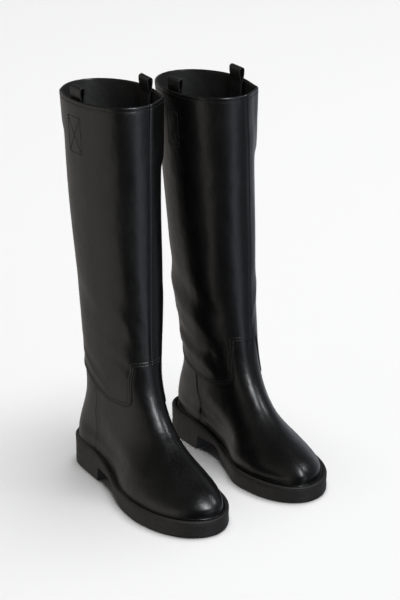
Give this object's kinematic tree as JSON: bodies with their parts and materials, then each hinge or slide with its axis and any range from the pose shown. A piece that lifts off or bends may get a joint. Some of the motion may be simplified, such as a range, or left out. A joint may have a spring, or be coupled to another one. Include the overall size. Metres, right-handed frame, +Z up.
{
  "type": "pair of knee boots",
  "caption": "Pair of pull-on knee-high leather boots with flexing ankles, folding pull loops and moulded rubber unit soles.",
  "frame": {"origin": "on the floor, in the middle of the plan of the pair", "axes": "+Z up, toes towards -Y, the wearer's right boot towards -X"},
  "size_m": [0.264, 0.326, 0.4925],
  "materials": {
    "leather": "smooth black calf leather, satin sheen",
    "lining": "black lining, matt",
    "rubber": "brown-black moulded rubber, matt",
    "fibreboard": "leather fibreboard",
    "cork": "granulated cork",
    "steel": "spring steel strip",
    "thread": "black waxed thread"
  },
  "bodies": {
    "right_foot": {"right_unit_sole": "rubber", "right_welt": "leather", "right_rand_bead": "leather", "right_cork_filler": "cork", "right_steel_shank": "steel", "right_insole_board": "fibreboard", "right_insock": "lining", "right_vamp": "leather", "right_heel_counter": "leather", "right_toe_puff": "fibreboard", "right_counter_stiffener": "fibreboard", "right_foot_lining": "lining", "right_ankle_lining": "lining", "right_ankle_panel_outer": "leather", "right_ankle_panel_inner": "leather"},
    "right_shaft": {"right_shaft_panel_outer": "leather", "right_shaft_panel_inner": "leather", "right_shaft_lining": "lining", "right_topline_facing": "leather", "right_back_seam_tape": "lining", "right_loop_tab_outer": "leather", "right_loop_tab_inner": "leather"},
    "right_loop_outer": {"right_loop_arch_outer": "leather"},
    "right_loop_inner": {"right_loop_arch_inner": "leather"},
    "left_foot": {"left_unit_sole": "rubber", "left_welt": "leather", "left_rand_bead": "leather", "left_cork_filler": "cork", "left_steel_shank": "steel", "left_insole_board": "fibreboard", "left_insock": "lining", "left_vamp": "leather", "left_heel_counter": "leather", "left_toe_puff": "fibreboard", "left_counter_stiffener": "fibreboard", "left_foot_lining": "lining", "left_ankle_lining": "lining", "left_ankle_panel_outer": "leather", "left_ankle_panel_inner": "leather"},
    "left_shaft": {"left_shaft_panel_outer": "leather", "left_shaft_panel_inner": "leather", "left_shaft_lining": "lining", "left_topline_facing": "leather", "left_back_seam_tape": "lining", "left_loop_tab_outer": "leather", "left_loop_tab_inner": "leather"},
    "left_loop_outer": {"left_loop_arch_outer": "leather"},
    "left_loop_inner": {"left_loop_arch_inner": "leather"}
  },
  "joints": [
    {"name": "right_ankle_flex", "type": "hinge", "parent": "right_foot", "child": "right_shaft", "pos_m": [-0.0732, 0.0454, 0.11], "axis": [1, 0, 0], "range_deg": [-8, 14], "stiffness_Nm_per_rad": 4, "deforming": ["right_ankle_panel_outer", "right_ankle_panel_inner", "right_ankle_lining"]},
    {"name": "right_loop_outer_fold", "type": "hinge", "parent": "right_shaft", "child": "right_loop_outer", "pos_m": [-0.1026, 0.0864, 0.479], "axis": [0, 1, 0], "range_deg": [-30, 80], "stiffness_Nm_per_rad": 0.01},
    {"name": "right_loop_inner_fold", "type": "hinge", "parent": "right_shaft", "child": "right_loop_inner", "pos_m": [-0.0102, 0.0864, 0.479], "axis": [0, -1, 0], "range_deg": [-30, 80], "stiffness_Nm_per_rad": 0.01},
    {"name": "left_ankle_flex", "type": "hinge", "parent": "left_foot", "child": "left_shaft", "pos_m": [0.0711, 0.0499, 0.11], "axis": [1, 0, 0], "range_deg": [-8, 14], "stiffness_Nm_per_rad": 4, "deforming": ["left_ankle_panel_outer", "left_ankle_panel_inner", "left_ankle_lining"]},
    {"name": "left_loop_outer_fold", "type": "hinge", "parent": "left_shaft", "child": "left_loop_outer", "pos_m": [0.1069, 0.0609, 0.479], "axis": [0, -1, 0], "range_deg": [-30, 80], "stiffness_Nm_per_rad": 0.01},
    {"name": "left_loop_inner_fold", "type": "hinge", "parent": "left_shaft", "child": "left_loop_inner", "pos_m": [0.0146, 0.0609, 0.479], "axis": [0, 1, 0], "range_deg": [-30, 80], "stiffness_Nm_per_rad": 0.01},
    {"name": "left_boot_slide", "type": "slide", "parent": "right_foot", "child": "left_foot", "axis": [1, 0, 0], "range_m": [-0.008, 0.25]}
  ]
}
